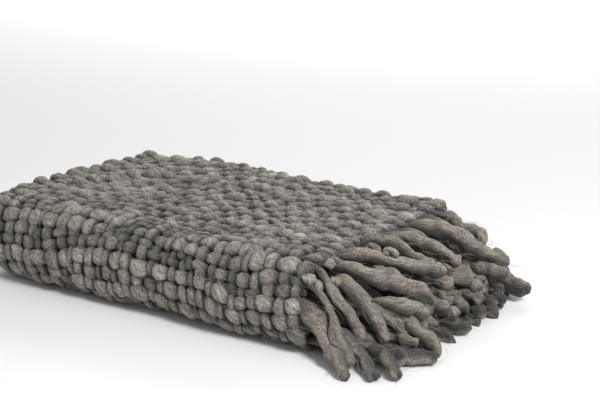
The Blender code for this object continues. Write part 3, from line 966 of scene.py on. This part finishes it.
class ThrowSizes(PropertyGroup):
    """Sizes of the yarns and of the fringe's locks."""

    warp_pitch: FloatProperty(
        name="Warp pitch", description="From one warp yarn to the next", default=0.0172, unit="LENGTH")
    warp_fill: FloatProperty(
        name="Warp fill", description="Width of a warp yarn as a share of its pitch", default=0.99)
    warp_height: FloatProperty(
        name="Warp height", description="Mean height of a warp yarn", default=0.0138, unit="LENGTH")
    weft_pitch: FloatProperty(
        name="Weft pitch", description="From one weft yarn to the next", default=0.0208, unit="LENGTH")
    weft_fill: FloatProperty(
        name="Weft fill", description="Width of a weft yarn as a share of its pitch", default=0.62)
    skips: FloatProperty(
        name="Skips", description="Share of crossings where a yarn stays on top once more",
        default=0.0, subtype="FACTOR", min=0.0, max=0.3)
    weft_height: FloatProperty(
        name="Weft height", description="Mean height of a weft yarn", default=0.0108, unit="LENGTH")
    nesting: FloatProperty(
        name="Nesting", description="Share of two yarns' heights between their middles",
        default=0.42, subtype="FACTOR", min=0.3, max=0.5)
    slub_spread: FloatProperty(
        name="Thick and thin", description="How much each yarn swells and thins", default=0.26)
    yarn_spread: FloatProperty(
        name="Gauge spread", description="How much one yarn differs from another", default=0.16)
    dive: FloatProperty(
        name="Dive", description="How steeply a yarn dives between two crossings", default=1.45)
    boxy: FloatProperty(
        name="Packing", description="Power that squares a yarn's round section where they crowd",
        default=0.72)
    fold_spread: FloatProperty(
        name="Fold spread", description="How much wider the warp is round the front fold", default=0.06)
    slant: FloatProperty(name="Slant", description="How far the twist slants each float", default=-0.12)
    top_slack: FloatProperty(
        name="Top slack", description="How much more the weft shows on top of the stack", default=0.60)
    pinch: FloatProperty(name="Pinch", description="How far a yarn narrows where it dives", default=0.12)
    crest: FloatProperty(
        name="Crest", description="How much wider a warp yarn is on top than underneath", default=0.05)
    jitter: FloatProperty(
        name="Jitter", description="How far one crossing strays from the ones beside it",
        default=0.0018, unit="LENGTH")
    wander: FloatProperty(
        name="Wander", description="How far rows of crossings wander from straight",
        default=0.0038, unit="LENGTH")
    lumps: FloatProperty(name="Lumps", description="Unevenness of a yarn's surface", default=0.035)
    ridges: FloatProperty(
        name="Ridges", description="Height of the twisted ridges round a yarn", default=0.035)
    seed: IntProperty(name="Seed", description="Which random weave is made", default=5)
    lock_plump: FloatProperty(
        name="Lock plumpness", description="Width of a felted lock against its solid", default=1.08)
    lock_swell: FloatProperty(
        name="Lock swelling", description="How much a lock swells and thins", default=0.16)
    lock_lumps: FloatProperty(
        name="Lock lumps", description="Unevenness of a lock's felted surface", default=0.15)
    lock_twist: FloatProperty(
        name="Lock twist", description="Turns of a lock's strands in a metre", default=7.5)
    waver: FloatProperty(
        name="Lock waver", description="How far a lock strays from a smooth line",
        default=0.0024, unit="LENGTH")
    fibres: IntProperty(
        name="Loose fibres", description="How many loose fibres stand off the wool", default=3000)
    fibre_thickness: FloatProperty(
        name="Fibre thickness", description="Thickness of a wisp of loose fibres",
        default=0.00045, unit="LENGTH")


class ThrowColours(PropertyGroup):
    """Colours of the wool, and of the shade painted in its crevices."""

    # The shade painted on the wool down in its crevices
    crevice_shade: StringProperty(
        name="Crevices", description="sRGB hex colour of wool down in the crevices", default="#201d1a")
    dark: StringProperty(
        name="Dark wool", description="sRGB hex colour of the darkest fibres", default="#45413c")
    middle: StringProperty(
        name="Middle wool", description="sRGB hex colour of most fibres", default="#807a72")
    light: StringProperty(
        name="Light wool", description="sRGB hex colour of the lightest fibres", default="#d2c9bd")
    fringe_tint: FloatVectorProperty(
        name="Fringe tint", description="Share of each colour in the fringe's wool",
        default=(0.92, 0.88, 0.82), size=3, min=0.0, max=1.5)
    floor: FloatVectorProperty(
        name="Floor", description="Colour of the floor",
        default=(0.81, 0.81, 0.815), subtype="COLOR", size=3, min=0.0, max=1.0)


SHARED = {}


def shared(context):
    """Return the weave and the wool, made once and kept for every operator."""
    if "weave" not in SHARED:
        SHARED["weave"] = Weave(context.scene.throw_sizes)
        colours = context.scene.throw_colours
        SHARED["wool"] = roving_material("Felted wool roving", colours, tint=(1.0, 1.0, 1.0), bump=0.9)
        SHARED["locks wool"] = roving_material("Felted wool locks", colours, colours.fringe_tint, bump=1.0)
        SHARED["skins"] = []
        SHARED["locks"] = []
    return SHARED["weave"], SHARED["wool"]


class THROW_OT_core(Operator):
    """Make a thin sheet in the middle of the cloth, which its yarns hide, painted dark as the shade in the
    gaps between them
    """

    bl_idname = "throw.core"
    bl_label = "Make the cloth's middle"

    def execute(self, context):
        _, wool = shared(context)
        mesh = grid_mesh("middle_shade_sheet", *MIDDLE_CELLS, with_uv=True)
        aside, inset = MIDDLE_SETBACK
        across, along = np.meshgrid(np.linspace(aside, 1 - aside, MIDDLE_CELLS[0] + 1),
                                    np.linspace(inset, CLOTH_LENGTH - inset, MIDDLE_CELLS[1] + 1))
        points = lay(across, along, MIDDLE_HEIGHT + 0 * along) + SHIFT
        mesh.vertices.foreach_set("co", points.astype(np.float32).reshape(-1))
        # It gets a dim tone and nearly the darkest painted crevice shade
        for name, value in MIDDLE_LOOKS:
            store(mesh, name, np.full(points.shape[:2], value))
        mesh.materials.append(wool)
        mesh.shade_smooth()
        piece = add_object("middle_shade_sheet", mesh)
        piece.modifiers.new("thickness", "SOLIDIFY").thickness = MIDDLE_THICKNESS
        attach(piece, "root")
        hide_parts("blanket")
        return {"FINISHED"}


def yarn_groups(weave):
    """Split the yarns by what shows: rows of name, yarns, and their first and last crossing."""
    outer_last = int(np.searchsorted(weave.along.mean(axis=0), STRAIGHT_LENGTH + BEND_LENGTH)) + 1
    shown_from = int(np.searchsorted(weave.across.mean(axis=1) / CLOTH_WIDTH, share_at(SHOWN_PLACE)))
    warps, wefts = range(weave.warps), range(weave.wefts)
    return (
        ("warp_shown", warps[shown_from:], 0, outer_last + 1),
        ("warp_under", warps[:shown_from], 0, outer_last + 1),
        ("warp_inside", warps, outer_last, weave.wefts + 1),
        ("weft_shown", wefts[:outer_last], shown_from, weave.warps + 1),
        ("weft_under", wefts[:outer_last], 0, shown_from + 1),
        ("weft_inside", wefts[outer_last:], 0, weave.warps + 1),
    )


class THROW_OT_yarns(Operator):
    """Weave the warp and weft yarns over and under each other on the folds of the cloth"""

    bl_idname = "throw.yarns"
    bl_label = "Weave the yarns"

    def execute(self, context):
        weave, wool = shared(context)
        sizes = context.scene.throw_sizes
        routes = {"warp": warp_route(weave), "weft": weft_route(weave)}
        gauges = {
            "warp": {"height": sizes.warp_height, "crossed": sizes.weft_pitch, "rounded": True},
            "weft": {"height": sizes.weft_height, "crossed": sizes.warp_pitch, "rounded": False},
        }
        for name, yarns, first, last in yarn_groups(weave):
            kind, part = name.split("_")
            rows = [values[list(yarns)] for values in routes[kind]]
            rings, painted_light = weave.tubes(*rows, gauges[kind], *YARN_RINGS[part], first, last)
            tubes = list(rings)
            tube_object(name, tubes, yarn_tones(weave, tubes), list(painted_light), wool, YARN_TWIST)
            if part == "shown":
                SHARED["skins"].extend(tubes)
        return {"FINISHED"}


class THROW_OT_fringe(Operator):
    """Make the felted locks of the two fringed ends, drooping over each other to the floor"""

    bl_idname = "throw.fringe"
    bl_label = "Make the fringe"

    def execute(self, context):
        weave, _ = shared(context)
        wool = SHARED["locks wool"]
        sizes = context.scene.throw_sizes
        for side in ("outer", "inner"):
            rng = np.random.default_rng(SEEDS[side] + 100)
            locks = lock_routes(side)
            rows = [PLACED_LOCKS[side].get(lock["number"]) for lock in locks]
            tubes, painted_light = zip(*(lock_tube(lock, row, sizes, rng) for lock, row in zip(locks, rows)))
            tones = [tone if row is None else np.clip(tone, *PLACED_TONES)
                     for tone, row in zip(yarn_tones(weave, tubes), rows)]
            piece = tube_object(f"locks_{side}", tubes, tones, painted_light, wool, LOCK_TWIST)
            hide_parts(f"fringe_{side}")
            SHARED["locks"].extend(tubes)
        rng = np.random.default_rng(sizes.seed)
        tubes, painted_light = zip(*(knot_tube(row, sizes, rng) for row in ROOT_KNOTS))
        tones = [np.full(len(tube), KNOT_TONE) for tube in tubes]
        tube_object("root_knots", tubes, tones, painted_light, wool, YARN_TWIST)
        return {"FINISHED"}


class THROW_OT_fibres(Operator):
    """Raise wisps of loose fibres off the yarns and the locks"""

    bl_idname = "throw.fibres"
    bl_label = "Raise the loose fibres"

    def execute(self, context):
        weave, _ = shared(context)
        sizes = context.scene.throw_sizes
        rows = (
            ("fibres_cloth", "skins", "wool", sizes.fibres, (0.010, 0.024), 1.0, "woven_wool"),
            ("fibres_fringe", "locks", "locks wool", sizes.fibres // 3, (0.014, 0.036), 1.3, "fringe_wool"),
        )
        for name, skins, wool, count, lengths, thicker, slot in rows:
            thickness = thicker * sizes.fibre_thickness
            tubes = list(fibre_tubes(weave.rng, SHARED[skins], count, lengths, thickness))
            tones = [np.ones(len(tube)) for tube in tubes]
            painted_light = [np.ones(tube.shape[:2]) for tube in tubes]
            tube_object(name, tubes, tones, painted_light, SHARED[wool], 0.0)
        return {"FINISHED"}


class THROW_OT_declare(Operator):
    """Do nothing: this step leaves the yarns and the fringe as they are"""

    bl_idname = "throw.declare"
    bl_label = "Declare the cloth"

    def execute(self, context):
        return {"FINISHED"}


class THROW_OT_stage(Operator):
    """Set the pale floor, the soft lights and the camera at the photograph's angle"""

    bl_idname = "throw.stage"
    bl_label = "Set the stage"

    def execute(self, context):
        scene = context.scene
        mesh = grid_mesh("floor", 1, 1, size=FLOOR_HALF)
        material = bpy.data.materials.new("Matt white paper")
        material.use_nodes = True
        shader = material.node_tree.nodes["Principled BSDF"]
        shader.inputs["Base Color"].default_value = (*scene.throw_colours.floor, 1.0)
        shader.inputs["Roughness"].default_value = 0.9
        mesh.materials.append(material)
        floor = add_object("floor", mesh)
        floor.location.z = -FLOOR_BELOW
        world = bpy.data.worlds.new("Soft white room")
        world.use_nodes = True
        background = world.node_tree.nodes["Background"]
        background.inputs["Color"].default_value = (1.0, 1.0, 1.0, 1.0)
        background.inputs["Strength"].default_value = ROOM_LIGHT
        scene.world = world
        scene.view_settings.view_transform = "Standard"
        for row in LAMPS:
            light = bpy.data.lights.new(row["name"], "AREA")
            light.energy = row["power"]
            light.size = row["size"]
            lamp = add_object(row["name"], light)
            lamp.location = row["place"]
            aim = Vector(row["aim"]) - lamp.location
            lamp.rotation_euler = aim.to_track_quat("-Z", "Y").to_euler()
        camera = bpy.data.cameras.new("camera")
        camera.lens = CAMERA_LENS
        camera.sensor_width = CAMERA_SENSOR
        eye = add_object("camera", camera)
        eye.location = CAMERA_PLACE + SHIFT
        eye.rotation_euler = (math.radians(90 - CAMERA_PITCH), 0.0, math.radians(CAMERA_YAW))
        scene.camera = eye
        return {"FINISHED"}


STEPS = (THROW_OT_core, THROW_OT_yarns, THROW_OT_fringe, THROW_OT_fibres, THROW_OT_declare, THROW_OT_stage)


class THROW_PT_panel(Panel):
    """Steps and sizes of the throw"""

    bl_label = "Wool throw"
    bl_idname = "THROW_PT_panel"
    bl_space_type = "VIEW_3D"
    bl_region_type = "UI"
    bl_category = "Wool throw"

    def draw(self, context):
        for group in (context.scene.throw_sizes, context.scene.throw_colours):
            for name in group.bl_rna.properties.keys():
                if name not in ("rna_type", "name"):
                    self.layout.prop(group, name)
        for step in STEPS:
            self.layout.operator(step.bl_idname)


CLASSES = (ThrowSizes, ThrowColours, *STEPS, THROW_PT_panel)


def register():
    for each in CLASSES:
        bpy.utils.register_class(each)
    bpy.types.Scene.throw_sizes = PointerProperty(type=ThrowSizes)
    bpy.types.Scene.throw_colours = PointerProperty(type=ThrowColours)


def unregister():
    del bpy.types.Scene.throw_colours
    del bpy.types.Scene.throw_sizes
    for each in reversed(CLASSES):
        bpy.utils.unregister_class(each)


def main():
    register()
    bpy.ops.throw.core()
    bpy.ops.throw.yarns()
    bpy.ops.throw.fringe()
    bpy.ops.throw.fibres()
    bpy.ops.throw.declare()
    bpy.ops.throw.stage()


if __name__ == "__main__":
    main()
